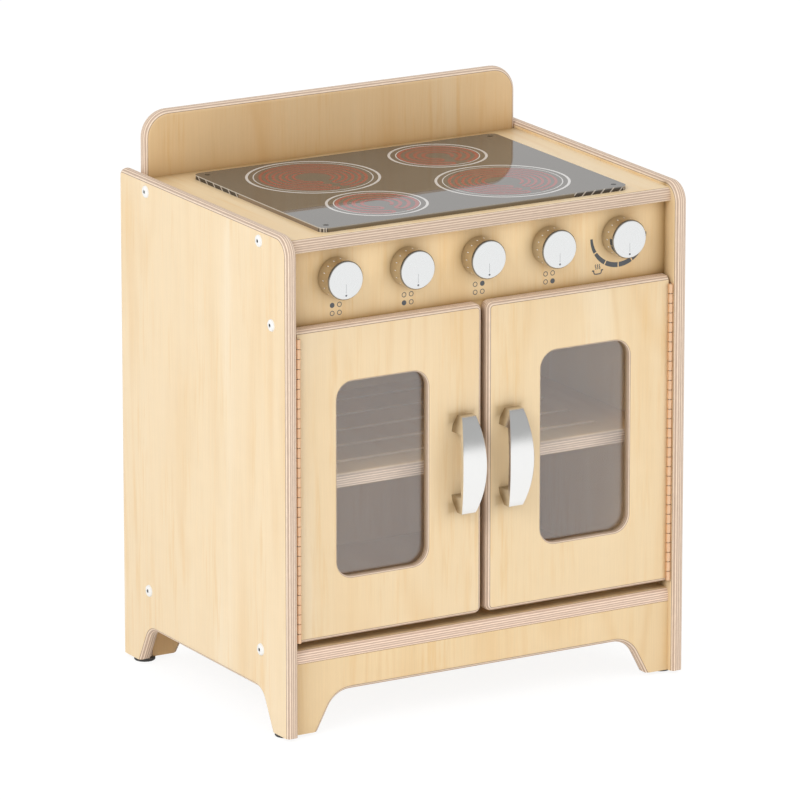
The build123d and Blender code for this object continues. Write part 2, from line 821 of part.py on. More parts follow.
def strike_plate():
    """The steel plate on the back of the left door that meets the magnet."""
    z = (catch_mid_z - strike_height / 2, catch_mid_z + strike_height / 2)
    return block(strike_x, (door_back, door_back + strike_thickness), z)


nodes = {
    "left_side_panel": side_panel(),
    "back_panel": back_panel(),
    "worktop": worktop(),
    "control_panel": control_panel(),
    "bottom_board": bottom_board(),
    "front_apron": front_apron(),
    "rack_shelf": rack_shelf(),
    "shelf_pins": shelf_pin_solids(),
    "glides": glide_solids(),
    "hob_plate": hob_plate(),
    "hob_screws": hob_screw_solids(),
    "left_bolts": [cabinet_bolt(depth, z) for depth, z, _ in bolt_places],
    "barrel_nuts": both_sides([barrel_nut(*place) for place in bolt_places]),
    "back_screws": back_screw_solids(),
    "apron_dowels": dowel_solids(),
    "spindle_bushes": [bush(x) for x in knob_xs],
    "frame_leaf_screws": both_sides([frame_leaf_screw(z) for z in leaf_screw_zs]),
    "catch_body": catch_body(),
    "catch_magnets": [magnet(-1), magnet(1)],
    "catch_screws": catch_screw_solids(),
    "left_hinge_frame_leaf": frame_leaf(),
    "left_hinge_door_leaf": door_leaf(),
    "left_hinge_pin": hinge_pin(),
    "left_door_leaf_screws": [door_leaf_screw(z) for z in leaf_screw_zs],
    "left_door": door_panel(),
    "left_window": window_pane(),
    "left_window_clips": [window_clip(*place) for place in clip_places()],
    "left_window_screws": clip_screw_solids(),
    "left_handle": handle(),
    "left_handle_screws": handle_screw_solids(),
    "left_strike_plate": strike_plate(),
}
for name in [name for name in nodes if name.startswith("left_")]:
    shape = nodes[name]
    twin = [other_side(piece) for piece in shape] if isinstance(shape, list) else other_side(shape)
    nodes[name.replace("left_", "right_", 1)] = twin
for number, x in enumerate(knob_xs, start=1):
    nodes[f"knob_{number}_body"] = knob_body(x)
    nodes[f"knob_{number}_cap"] = knob_cap(x)
    nodes[f"knob_{number}_spindle"] = knob_spindle(x)

os.makedirs("parts", exist_ok=True)
for name, shape in nodes.items():
    pieces = shape if isinstance(shape, list) else [shape]
    solids = [solid for piece in pieces for solid in piece.solids()]
    whole = solids[0] if len(solids) == 1 else Compound(children=solids)
    export_step(whole, f"parts/{name}.step")
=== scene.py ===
import bpy
import numpy as np
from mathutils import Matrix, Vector


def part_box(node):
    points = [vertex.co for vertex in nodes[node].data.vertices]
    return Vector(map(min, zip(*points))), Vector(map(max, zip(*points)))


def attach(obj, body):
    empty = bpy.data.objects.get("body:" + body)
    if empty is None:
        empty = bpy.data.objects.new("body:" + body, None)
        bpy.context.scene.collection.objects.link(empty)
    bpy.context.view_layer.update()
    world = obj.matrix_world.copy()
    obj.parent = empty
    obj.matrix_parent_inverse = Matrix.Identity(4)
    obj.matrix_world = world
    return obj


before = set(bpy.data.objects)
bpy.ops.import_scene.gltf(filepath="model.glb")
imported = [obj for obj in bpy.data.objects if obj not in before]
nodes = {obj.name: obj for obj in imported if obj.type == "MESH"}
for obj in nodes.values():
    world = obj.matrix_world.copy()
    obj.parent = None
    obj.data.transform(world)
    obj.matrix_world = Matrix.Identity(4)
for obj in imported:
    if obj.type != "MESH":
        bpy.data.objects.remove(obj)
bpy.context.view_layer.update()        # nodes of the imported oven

mm = 0.001
sides = ("left", "right")
print("frame loaded:", len(nodes), "nodes")


# ---------- camera, floor and light ----------
cameraView = {
    "place": (-4.11511, -7.03347, 2.55446),
    "turn": 30.2766,     # degrees round to the right of +Y
    "tilt": 15.4019,     # degrees below the horizon
    "lens": 342.368,
    "sensor": 36.0,
}


def makeCamera(view):
    data = bpy.data.cameras.new("mainCamera")
    data.lens = view["lens"]
    data.sensor_width = view["sensor"]
    data.clip_start = 0.1
    data.clip_end = 100.0
    camera = bpy.data.objects.new("mainCamera", data)
    camera.location = view["place"]
    camera.rotation_euler = np.radians((90.0 - view["tilt"], 0.0, -view["turn"]))
    bpy.context.scene.collection.objects.link(camera)
    bpy.context.scene.camera = camera


def setInputs(tree, node, values):
    # inputs are by name or by number; a socket given as a value is linked
    for name, value in values.items():
        if isinstance(value, bpy.types.NodeSocket):
            tree.links.new(value, node.inputs[name])
        else:
            node.inputs[name].default_value = value
    return node


def addNode(tree, kind, inputs=None, **settings):
    made = tree.nodes.new(kind)
    for name, value in settings.items():
        setattr(made, name, value)
    return setInputs(tree, made, inputs or {})


def maths(tree, operation, first, second=0.0, third=0.0):
    made = addNode(tree, "ShaderNodeMath", {0: first, 1: second, 2: third}, operation=operation)
    return made.outputs[0]


def times(tree, first, second):
    return maths(tree, "MULTIPLY", first, second)


def minus(tree, first, second):
    return maths(tree, "SUBTRACT", first, second)


def distanceFrom(tree, value, place):
    return maths(tree, "ABSOLUTE", minus(tree, value, place))


def vectorMaths(tree, operation, first, second=(0, 0, 0)):
    return addNode(tree, "ShaderNodeVectorMath", {0: first, 1: second}, operation=operation).outputs


def split(tree, vector):
    return addNode(tree, "ShaderNodeSeparateXYZ", {0: vector}).outputs


def joined(tree, x, y, z=0.0):
    return addNode(tree, "ShaderNodeCombineXYZ", {0: x, 1: y, 2: z}).outputs[0]


def mixColours(tree, factor, first, second, blend="MIX"):
    inputs = {0: factor, 6: first, 7: second}
    return addNode(tree, "ShaderNodeMix", inputs, data_type="RGBA", blend_type=blend).outputs[2]


def multiplied(tree, colour, by):
    return mixColours(tree, 1.0, colour, by, "MULTIPLY")


def darkenedBy(tree, colour, shade):
    grey = addNode(tree, "ShaderNodeCombineColor", {0: shade, 1: shade, 2: shade}).outputs[0]
    return multiplied(tree, colour, grey)


def mixValues(tree, factor, first, second):
    return addNode(tree, "ShaderNodeMix", {0: factor, 2: first, 3: second}, data_type="FLOAT").outputs[0]


def smoothStep(tree, value, low, high):
    # 0 below low, 1 above high and a soft curve between
    inputs = {"Value": value, "From Min": low, "From Max": high}
    return addNode(tree, "ShaderNodeMapRange", inputs, interpolation_type="SMOOTHSTEP").outputs[0]


def stepInMm(tree, value, low, high):
    return smoothStep(tree, value, low * mm, high * mm)


def noise(tree, place, scale=1.0, detail=2.0, roughness=0.5):
    inputs = {"Vector": place, "Scale": scale, "Detail": detail, "Roughness": roughness}
    return addNode(tree, "ShaderNodeTexNoise", inputs).outputs[0]


def stretched(tree, place, scale):
    # the place with each axis multiplied by its own number
    return vectorMaths(tree, "MULTIPLY", place, scale)[0]


def bump(tree, height, strength, distance):
    inputs = {"Strength": strength, "Distance": distance, "Height": height}
    return addNode(tree, "ShaderNodeBump", inputs).outputs[0]


floorLook = {"size": 60.0, "bounce": 0.95, "shadowShare": 0.18, "glow": 0.88}
lightLook = {
    "world": 0.78,
    "skyGrey": 0.47,         # how bright metal sees the room above
    "front": (0.1, -0.1),
    "greyInFront": (-0.05, 0.15),
    "greyBehind": (0.30, 0.70),
    "lamps": [
        # name, place, size, power
        ("keyLamp", (-3.6, -2.2, 3.0), 2.4, 74.0),
        ("fillLamp", (2.6, -3.6, 2.6), 2.6, 24.0),
    ],
    "aim": (0.0, 0.0, 0.3),
}


def showsBackground(tree):
    # whether a ray is from the camera, from gloss or through glass; then whether it is from gloss
    path = addNode(tree, "ShaderNodeLightPath").outputs
    either = maths(tree, "MAXIMUM", path["Is Camera Ray"], path["Is Glossy Ray"])
    return maths(tree, "MAXIMUM", either, path["Is Transmission Ray"]), path["Is Glossy Ray"]


def makeFloor(look):
    half = look["size"] / 2
    mesh = bpy.data.meshes.new("floor")
    outline = [(-half, -half, 0), (half, -half, 0), (half, half, 0), (-half, half, 0)]
    mesh.from_pydata(outline, [], [(0, 1, 2, 3)])
    floor = bpy.data.objects.new("floor", mesh)
    bpy.context.scene.collection.objects.link(floor)
    material = bpy.data.materials.new("paleFloor")
    material.use_nodes = True
    tree = material.node_tree
    tree.nodes.clear()
    plain = addNode(tree, "ShaderNodeBsdfDiffuse", {"Color": (look["bounce"],) * 3 + (1,)})
    shaded = addNode(tree, "ShaderNodeBsdfDiffuse", {"Color": (look["shadowShare"],) * 3 + (1,)})
    glow = addNode(tree, "ShaderNodeEmission", {"Color": (1, 1, 1, 1), "Strength": look["glow"]})
    both = addNode(tree, "ShaderNodeAddShader", {0: shaded.outputs[0], 1: glow.outputs[0]})
    inputs = {0: showsBackground(tree)[0], 1: plain.outputs[0], 2: both.outputs[0]}
    mixed = addNode(tree, "ShaderNodeMixShader", inputs)
    addNode(tree, "ShaderNodeOutputMaterial", {"Surface": mixed.outputs[0]})
    mesh.materials.append(material)


def makeWorld(look):
    world = bpy.data.worlds.new("studio")
    bpy.context.scene.world = world
    world.use_nodes = True
    tree = world.node_tree
    tree.nodes.clear()
    shows, inGloss = showsBackground(tree)
    direction = split(tree, addNode(tree, "ShaderNodeTexCoord").outputs["Generated"])
    front = smoothStep(tree, direction[1], *look["front"])
    inFront = smoothStep(tree, direction[2], *look["greyInFront"])
    up = mixValues(tree, front, smoothStep(tree, direction[2], *look["greyBehind"]), inFront)
    grey = (look["skyGrey"],) * 3 + (1,)
    tint = mixColours(tree, times(tree, up, inGloss), (1, 1, 1, 1), grey)
    lit = addNode(tree, "ShaderNodeBackground", {"Color": (1, 1, 1, 1), "Strength": look["world"]})
    seen = addNode(tree, "ShaderNodeBackground", {"Color": tint, "Strength": 1.0})
    mixed = addNode(tree, "ShaderNodeMixShader", {0: shows, 1: lit.outputs[0], 2: seen.outputs[0]})
    addNode(tree, "ShaderNodeOutputWorld", {"Surface": mixed.outputs[0]})


def makeLamps(look):
    for name, place, size, power in look["lamps"]:
        data = bpy.data.lights.new(name, "AREA")
        data.shape = "DISK"
        data.size = size
        data.energy = power
        lamp = bpy.data.objects.new(name, data)
        lamp.location = place
        lamp.rotation_euler = (Vector(look["aim"]) - Vector(place)).to_track_quat("-Z", "Y").to_euler()
        lamp.visible_glossy = False
        bpy.context.scene.collection.objects.link(lamp)


makeCamera(cameraView)
makeFloor(floorLook)
makeWorld(lightLook)
makeLamps(lightLook)
bpy.context.scene.view_settings.view_transform = "Standard"
print("camera, floor and light made")


# ---------- shared effects ----------
def newGroup(name, inputs, outputs):
    # an input is a number, a vector or a colour, by the size of its default
    group = bpy.data.node_groups.new(name, "ShaderNodeTree")
    for label, value in inputs.items():
        kind = {1: "Float", 3: "Vector", 4: "Color"}[np.size(value)]
        socket = group.interface.new_socket(label, in_out="INPUT", socket_type="NodeSocket" + kind)
        socket.default_value = value
    for label in outputs:
        kind = "Color" if label == "Color" else "Float"
        group.interface.new_socket(label, in_out="OUTPUT", socket_type="NodeSocket" + kind)
    start = group.nodes.new("NodeGroupInput")
    end = group.nodes.new("NodeGroupOutput")
    return group, start.outputs, end.inputs


def useGroup(tree, group, inputs):
    return addNode(tree, "ShaderNodeGroup", inputs, node_tree=group).outputs


veneerLook = {
    "plain": (0.868, 0.674, 0.418, 1),
    "cream": (0.895, 0.728, 0.490, 1),
    "honey": (0.838, 0.620, 0.355, 1),
    "streak": (0.820, 0.565, 0.275, 1),
    "line": (0.790, 0.540, 0.270, 1),
    # scales are per metre, twice across the grain and then along it
    "bands": {"scale": (17, 17, 1.9), "cream": (0.52, 0.70), "honey": (0.48, 0.30)},
    "arches": {"scale": (5.5, 5.5, 1.05), "count": 13.0, "edge": (0.24, 0.0),
               "patches": (7, 7, 3), "inPatch": (0.42, 0.66), "amount": 0.38},
    "streaks": {"scale": (150, 150, 9), "edge": (0.47, 0.70),
                "patches": (24, 24, 6), "inPatch": (0.36, 0.64), "amount": 0.62},
    "fibres": {"scale": (900, 900, 16), "amount": 0.13},
    "ripple": {"scale": (30, 30, 55), "amount": 0.04},
    "darkest": 0.92,
    "roughness": (0.36, 0.50),
}


def makeVeneerGroup(look):
    # rotary-cut birch whose grain runs along the third axis of Place, in metres
    inputs = {"Place": (0, 0, 0), "Shift": (0, 0, 0)}
    group, given, result = newGroup("birchVeneer", inputs, ["Color", "Roughness", "Height"])
    place = vectorMaths(group, "ADD", given["Place"], given["Shift"])[0]

    def grainNoise(scale, detail, roughness=0.5):
        return noise(group, stretched(group, place, scale), 1.0, detail, roughness)

    # broad bands of cream and honey along the grain
    bands = grainNoise(look["bands"]["scale"], 2.5, 0.55)
    isCream = smoothStep(group, bands, *look["bands"]["cream"])
    colour = mixColours(group, isCream, look["plain"], look["cream"])
    colour = mixColours(group, smoothStep(group, bands, *look["bands"]["honey"]), colour, look["honey"])

    # cathedral arches are the contour lines of a slow field
    arches = look["arches"]
    field = grainNoise(arches["scale"], 1.5, 0.4)
    contour = maths(group, "PINGPONG", times(group, field, arches["count"]), 0.5)
    patchy = smoothStep(group, grainNoise(arches["patches"], 1.0), *arches["inPatch"])
    arch = times(group, smoothStep(group, contour, *arches["edge"]), patchy)
    colour = mixColours(group, times(group, arch, arches["amount"]), colour, look["line"])

    # short orange streaks that come in patches
    streaks = look["streaks"]
    streak = smoothStep(group, grainNoise(streaks["scale"], 3.0, 0.65), *streaks["edge"])
    patchy = smoothStep(group, grainNoise(streaks["patches"], 2.0), *streaks["inPatch"])
    amount = times(group, times(group, streak, patchy), streaks["amount"])
    colour = mixColours(group, amount, colour, look["streak"])

    # fine fibres, and a faint ripple across them
    fibre = grainNoise(look["fibres"]["scale"], 3.0, 0.6)
    ripple = grainNoise(look["ripple"]["scale"], 2.0)
    shade = maths(group, "MULTIPLY_ADD", ripple, look["ripple"]["amount"], look["darkest"])
    shade = maths(group, "MULTIPLY_ADD", fibre, look["fibres"]["amount"], shade)
    group.links.new(darkenedBy(group, colour, shade), result["Color"])
    group.links.new(mixValues(group, fibre, *look["roughness"]), result["Roughness"])
    group.links.new(fibre, result["Height"])
    return group


plyLook = {
    "layers": 11,
    "light": (0.905, 0.740, 0.580, 1),
    "dark": (0.615, 0.445, 0.335, 1),
    "glue": (0.300, 0.180, 0.125, 1),
    "veneer": 0.50 * mm,
    "glueLine": 0.42 * mm,
    "stray": {"scale": 55.0, "layers": 0.34},
    "change": (0.44, 0.56),                            # from a light layer to a dark one
    "streaks": {"across": 1900.0, "along": 95.0},      # per metre
    "ownShade": (0.12, 0.90),
    "streakShade": (0.60, 0.70),
    "lines": {"edge": (0.12, 0.03), "amount": 0.66, "inPatch": (0.30, 0.55)},
    "underFace": {"full": 0.3, "amount": 0.92},
    "faceEdge": (1.03, 0.93),
}


def makePlyGroup(look):
    # stripes from the depth into the board; both faces are masked out
    inputs = {"Depth": 0.0, "Thickness": 15 * mm, "Place": (0, 0, 0)}
    group, given, result = newGroup("plyLayers", inputs, ["Color", "Face"])
    depth, thickness, place = given["Depth"], given["Thickness"], given["Place"]
    veneer = look["veneer"]
    nearest = maths(group, "MINIMUM", depth, minus(group, thickness, depth))
    core = minus(group, thickness, 2 * veneer)
    share = maths(group, "DIVIDE", minus(group, depth, veneer), core)
    stray = noise(group, place, look["stray"]["scale"], 2.0)
    most = look["stray"]["layers"]
    inside = maths(group, "PINGPONG", times(group, share, 2.0), 1.0)
    stray = times(group, maths(group, "MULTIPLY_ADD", stray, most, -most / 2), inside)
    layer = maths(group, "MULTIPLY_ADD", share, float(look["layers"]), stray)
    ramp = maths(group, "PINGPONG", minus(group, layer, 0.5), 1.0)
    colour = mixColours(group, smoothStep(group, ramp, *look["change"]), look["light"], look["dark"])

    # each layer has its own shade, with fine streaks along it
    number = maths(group, "FLOOR", layer)
    own = addNode(group, "ShaderNodeTexWhiteNoise", {"W": number}, noise_dimensions="1D").outputs[0]
    axes = split(group, place)
    along = maths(group, "ADD", maths(group, "ADD", axes[0], axes[1]), axes[2])
    across = times(group, depth, look["streaks"]["across"])
    flow = joined(group, across, times(group, along, look["streaks"]["along"]))
    streaks = noise(group, flow, 1.0, 3.0, 0.65)
    shade = maths(group, "MULTIPLY_ADD", own, *look["ownShade"])
    shade = times(group, shade, maths(group, "MULTIPLY_ADD", streaks, *look["streakShade"]))
    colour = darkenedBy(group, colour, shade)

    # thin glue lines between the layers, and a darker one under each face
    lines, underFace = look["lines"], look["underFace"]
    toLine = maths(group, "PINGPONG", layer, 0.5)
    glue = times(group, smoothStep(group, toLine, *lines["edge"]), lines["amount"])
    glue = times(group, glue, smoothStep(group, streaks, *lines["inPatch"]))
    start, end = veneer + look["glueLine"], veneer + underFace["full"] * look["glueLine"]
    under = times(group, smoothStep(group, nearest, start, end), underFace["amount"])
    glue = maths(group, "MAXIMUM", glue, under)
    face = smoothStep(group, nearest, *(veneer * part for part in look["faceEdge"]))
    group.links.new(mixColours(group, glue, colour, look["glue"]), result["Color"])
    group.links.new(face, result["Face"])
    return group


paintedShadeLook = {"deep": (0.40, 0.31, 0.17, 1)}


def makePaintedShadeGroup(look):
    # painted shade: wood gets darker into a corner, where less light falls; the amount falls off with the
    # distance in metres
    inputs = {"Color": (1, 1, 1, 1), "Distance": 1.0, "Reach": 10 * mm, "Amount": 0.5}
    group, given, result = newGroup("paintedCornerShade", inputs, ["Color"])
    steps = maths(group, "DIVIDE", times(group, given["Distance"], -1.0), given["Reach"])
    amount = times(group, maths(group, "EXPONENT", steps), given["Amount"])
    deep = multiplied(group, given["Color"], look["deep"])
    group.links.new(mixColours(group, amount, given["Color"], deep), result["Color"])
    return group


brushedLook = {"blotches": 60.0, "lineRoughness": 0.16, "blotchRoughness": 0.10}


def makeBrushedGroup(look):
    # fine lines along the third axis of Place: a shade and a roughness
    inputs = {"Place": (0, 0, 0), "Fineness": 2200.0, "Length": 30.0}
    group, given, result = newGroup("brushedLines", inputs, ["Shade", "Roughness"])
    scale = joined(group, given["Fineness"], given["Fineness"], given["Length"])
    lines = noise(group, stretched(group, given["Place"], scale), 1.0, 2.0, 0.6)
    blotches = times(group, noise(group, given["Place"], look["blotches"], 2.0), look["blotchRoughness"])
    rough = maths(group, "MULTIPLY_ADD", lines, look["lineRoughness"], blotches)
    group.links.new(lines, result["Shade"])
    group.links.new(rough, result["Roughness"])
    return group


fineRatio = 14.0        # how much finer the fine unevenness is than the slow


def makeUnevenGroup():
    # slow and fine unevenness, such as moulding flow, plating or dust
    group, given, result = newGroup("unevenness", {"Place": (0, 0, 0), "Scale": 80.0}, ["Slow", "Fine"])
    place, scale = given["Place"], given["Scale"]
    group.links.new(noise(group, place, scale, 2.0), result["Slow"])
    group.links.new(noise(group, place, times(group, scale, fineRatio), 3.0, 0.6), result["Fine"])
    return group


veneerGroup = makeVeneerGroup(veneerLook)
plyGroup = makePlyGroup(plyLook)
paintedShadeGroup = makePaintedShadeGroup(paintedShadeLook)
brushedGroup = makeBrushedGroup(brushedLook)
unevenGroup = makeUnevenGroup()
print("shared effects made")


# ---------- materials ----------
def newMaterial(name):
    material = bpy.data.materials.new(name)
    material.use_nodes = True
    tree = material.node_tree
    return material, tree, tree.nodes["Principled BSDF"]


def objectPlace(tree):
    return addNode(tree, "ShaderNodeTexCoord").outputs["Object"]


def trueNormal(tree):
    return split(tree, addNode(tree, "ShaderNodeNewGeometry").outputs["True Normal"])


def alongGrain(tree, axes, grain):
    # the place with the axis of the grain put last
    first, second = (axes[i] for i in range(3) if i != grain)
    return joined(tree, first, second, axes[grain])


# painted shade on a colour, towards a corner or edge
def paintedShadeTowards(tree, colour, distance, reach, amount):
    inputs = {"Color": colour, "Distance": distance, "Reach": reach * mm, "Amount": amount}
    return useGroup(tree, paintedShadeGroup, inputs)["Color"]


def colourPair(tree, factor, first, second):
    return mixColours(tree, factor, tuple(first) + (1,), tuple(second) + (1,))


def unevenIn(tree, scale):
    return useGroup(tree, unevenGroup, {"Place": objectPlace(tree), "Scale": scale})


def strayFinish(tree, uneven, colours, roughness):
    # a colour and a roughness that each stray between two values
    rough = mixValues(tree, uneven["Fine"], *roughness)
    return {"Base Color": colourPair(tree, uneven["Slow"], *colours), "Roughness": rough}


def middleOf(name):
    low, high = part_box(name)
    return (low + high) / 2


def finishNode(name, material):
    mesh = nodes[name].data
    mesh.materials.clear()
    mesh.materials.append(material)


# node: (axis across the thickness, axis of the grain, shift of the pattern, tone and painted shade)
boards = {
    "left_side_panel": (0, 2, (0.31, 0.12, 0.40), (1.01, 1.03, 1.08, 1)),
    "right_side_panel": (0, 2, (1.63, 0.77, 0.15), (1.00, 0.99, 0.97, 1)),
    # painted shade: the back panel is toned darker, as it gets less light bounced from the dark hob below
    "back_panel": (1, 2, (2.20, 0.35, 0.82), (0.90, 0.82, 0.72, 1)),
    "worktop": (2, 1, (3.10, 1.40, 0.22), (1.02, 1.03, 1.05, 1)),
    "control_panel": (1, 2, (4.30, 0.10, 1.57), (1.08, 1.05, 0.99, 1)),
    "bottom_board": (2, 1, (5.05, 2.20, 0.71), (1.00, 1.00, 1.00, 1)),
    "front_apron": (1, 2, (6.41, 0.92, 0.33), (1.00, 0.98, 0.94, 1)),
    "rack_shelf": (2, 1, (7.70, 1.15, 2.60), (1.00, 0.93, 0.82, 1)),
    "left_door": (1, 2, (8.21, 0.48, 1.31), (1.00, 1.00, 1.01, 1)),
    "right_door": (1, 2, (9.43, 1.73, 0.64), (1.00, 1.00, 1.00, 1)),
}
slotHighlightWood = (0.95, 0.76, 0.54, 1)
edgeTones = {"worktop": (0.90, 0.89, 0.885, 1), "bottom_board": (1.10, 1.07, 1.09, 1)}
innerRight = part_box("right_side_panel")[0][0]
doorLow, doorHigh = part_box("left_door")
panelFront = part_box("control_panel")[0][1]
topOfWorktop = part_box("worktop")[1][2]
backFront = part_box("back_panel")[0][1]

# painted shade in the corners of each board and towards some edges, where less light falls; node: (whether
# the shaded face is the low one, its corners as (axis, place, reach in mm, amount))
corners = {
    "control_panel": (True, [
        (0, innerRight, 12.0, 0.90), (0, -innerRight, 16.0, 0.82), (2, doorHigh[2], 10.0, 0.90)]),
    "back_panel": (True, [(2, topOfWorktop, 18.0, 0.62)]),
    "worktop": (False, [(1, backFront, 20.0, 0.90), (0, -innerRight, 4.0, 0.40)]),
    "bottom_board": (False, [(1, doorHigh[1], 18.0, 0.45)]),
    "front_apron": (True, [(0, -innerRight, 30.0, 0.30), (0, innerRight, 30.0, 0.16)]),
    "left_door": (True, [(0, doorLow[0], 35.0, 0.19), (2, doorHigh[2], 35.0, 0.08)]),
    "right_door": (True, [(2, doorHigh[2], 35.0, 0.10)]),
    "right_side_panel": (True, [(1, panelFront, 8.0, 0.85)]),
    "left_side_panel": (False, [(1, panelFront, 8.0, 0.85)]),
}
knobShadeLook = {"reach": 7.0, "amount": 0.58}
faceEdge = (2.0, 1.0)       # a face's shade fades out between these depths in mm
doorShadeLook = {
    "backEdge": (0.4, 1.2),
    "revealEdge": (1.0, 0.0), "revealDepth": (0.6, 3.5), "revealReach": 4.4, "revealAmount": 0.95,
    "gapEdge": (3.0, 1.5), "gapReach": 6.0, "gapAmount": 0.80,
    "foot": 9.0, "footReach": 3.5, "footAmount": 0.48,
}


def paintedShadeInCorners(tree, name, colour, axes, depth, thickness):
    isLow, places = corners[name]
    toFace = depth if isLow else minus(tree, thickness, depth)
    onFace = stepInMm(tree, toFace, *faceEdge)
    for axis, where, reach, amount in places:
        distance = distanceFrom(tree, axes[axis], where)
        colour = paintedShadeTowards(tree, colour, distance, reach, times(tree, onFace, amount))
    if name == "control_panel":
        # painted shade round each knob on the panel
        first, second = middleOf("knob_1_cap"), middleOf("knob_2_cap")
        radius = 0.5 * (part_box("knob_1_body")[1][0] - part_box("knob_1_body")[0][0])
        # the distance to the nearest knob, with the row of knobs folded onto one
        fromFirst = minus(tree, axes[0], first[0])
        x = maths(tree, "PINGPONG", fromFirst, (second[0] - first[0]) / 2)
        away = joined(tree, x, minus(tree, axes[2], first[2]))
        length = vectorMaths(tree, "LENGTH", away)["Value"]
        distance = maths(tree, "MAXIMUM", minus(tree, length, radius), 0.0)
        amount = times(tree, onFace, knobShadeLook["amount"])
        colour = paintedShadeTowards(tree, colour, distance, knobShadeLook["reach"], amount)
    return colour


def paintedShadeOnDoor(tree, name, colour, axes, depth, thickness, look):
    # painted shade: darker inside the window's reveal, down the gap between the doors and round the
    # handle's feet
    side = name.split("_")[0]
    low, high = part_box(name)
    paneLow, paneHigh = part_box(side + "_window")
    gripLow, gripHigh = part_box(side + "_handle")
    fromBack = minus(tree, thickness, depth)
    notBack = stepInMm(tree, fromBack, *look["backEdge"])

    def beyond(value, middle, half):
        # how far a value is outside the range from middle - half to middle + half
        return maths(tree, "MAXIMUM", minus(tree, distanceFrom(tree, value, middle), half), 0.0)

    def beyondBox(axis, boxLow, boxHigh):
        middle, half = (boxLow[axis] + boxHigh[axis]) / 2, (boxHigh[axis] - boxLow[axis]) / 2
        return beyond(axes[axis], float(middle), float(half))

    outside = [beyondBox(axis, paneLow, paneHigh) for axis in (0, 2)]
    inside = stepInMm(tree, maths(tree, "MAXIMUM", *outside), *look["revealEdge"])
    inside = times(tree, times(tree, notBack, inside), stepInMm(tree, depth, *look["revealDepth"]))
    toPane = maths(tree, "MAXIMUM", minus(tree, float(paneLow[1]), axes[1]), 0.0)
    amount = times(tree, inside, look["revealAmount"])
    colour = paintedShadeTowards(tree, colour, toPane, look["revealReach"], amount)

    meeting = float(high[0] if side == "left" else low[0])
    inGap = stepInMm(tree, distanceFrom(tree, axes[0], meeting), *look["gapEdge"])
    amount = times(tree, times(tree, notBack, inGap), look["gapAmount"])
    colour = paintedShadeTowards(tree, colour, fromBack, look["gapReach"], amount)

    # both feet at once: the height is folded about the middle of the grip
    middle, half = float(gripLow[2] + gripHigh[2]) / 2, float(gripHigh[2] - gripLow[2]) / 2
    halfFoot = look["foot"] * mm / 2
    fold = distanceFrom(tree, axes[2], middle)
    away = joined(tree, beyondBox(0, gripLow, gripHigh), beyond(fold, half - halfFoot, halfFoot))
    distance = vectorMaths(tree, "LENGTH", away)["Value"]
    amount = times(tree, stepInMm(tree, depth, *faceEdge), look["footAmount"])
    return paintedShadeTowards(tree, colour, distance, look["footReach"], amount)


boardLook = {"edgeRoughness": 0.55, "bump": (0.06, 0.2 * mm), "slotsFrom": (2 * mm, 4 * mm)}


def finishBoard(name, across, grain, shift, toneAndShade, look):
    material, tree, shader = newMaterial(name + "_birch")
    low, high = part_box(name)
    place = objectPlace(tree)
    axes = split(tree, place)
    depth = minus(tree, axes[across], low[across])
    thickness = high[across] - low[across]
    veneer = useGroup(tree, veneerGroup, {"Place": alongGrain(tree, axes, grain), "Shift": shift})
    edge = useGroup(tree, plyGroup, {"Depth": depth, "Thickness": thickness, "Place": place})
    layers = edge["Color"]
    if name in edgeTones:
        layers = multiplied(tree, layers, edgeTones[name])
    colour = mixColours(tree, edge["Face"], layers, multiplied(tree, veneer["Color"], toneAndShade))
    if name == "rack_shelf":
        # painted light: the slot walls take a plain light wood colour without the dark glue line, so they
        # show as lit lines between the slats
        slots = smoothStep(tree, axes[1], *(low[1] + start for start in look["slotsFrom"]))
        walls = times(tree, slots, minus(tree, 1.0, edge["Face"]))
        colour = mixColours(tree, walls, colour, slotHighlightWood)
    # painted shade in the board's corners
    if name in corners:
        colour = paintedShadeInCorners(tree, name, colour, axes, depth, thickness)
    # painted shade in the door's window reveal, in the gap and round the handle's feet
    if name.endswith("_door"):
        colour = paintedShadeOnDoor(tree, name, colour, axes, depth, thickness, doorShadeLook)
    setInputs(tree, shader, {
        "Base Color": colour,
        "Roughness": mixValues(tree, edge["Face"], look["edgeRoughness"], veneer["Roughness"]),
        "Normal": bump(tree, veneer["Height"], *look["bump"]),
    })
    finishNode(name, material)


for name, board in boards.items():
    finishBoard(name, *board, boardLook)
print("boards finished")


bumpDepth = 0.1 * mm
plainLooks = {
    # two colours, roughness range, scale of the unevenness, bump and fixed sockets
    "zincPlate": (((0.52, 0.53, 0.52), (0.68, 0.68, 0.65)), (0.26, 0.42), 260.0, 0.05, {"Metallic": 1.0}),
    "blackOxide": (((0.020, 0.019, 0.018), (0.050, 0.046, 0.042)), (0.34, 0.5), 300.0, 0.05,
                   {"Metallic": 0.6}),
    "copperPlate": (((0.82, 0.50, 0.30), (0.87, 0.60, 0.39)), (0.26, 0.44), 150.0, 0.04,
                    {"Metallic": 0.85}),
    "whiteNylon": (((0.76, 0.75, 0.70), (0.82, 0.81, 0.77)), (0.42, 0.52), 180.0, 0.04, {}),
    "brownMoulding": (((0.095, 0.052, 0.030), (0.130, 0.074, 0.042)), (0.40, 0.54), 170.0, 0.06, {}),
    "ferrite": (((0.016, 0.016, 0.017), (0.034, 0.034, 0.036)), (0.5, 0.7), 400.0, 0.12, {}),
    "darkRubber": (((0.050, 0.050, 0.052), (0.090, 0.088, 0.086)), (0.62, 0.82), 260.0, 0.15,
                   {"Specular IOR Level": 0.35}),
    "beechDowel": (((0.62, 0.40, 0.24), (0.74, 0.52, 0.33)), (0.5, 0.62), 320.0, 0.06, {}),
}


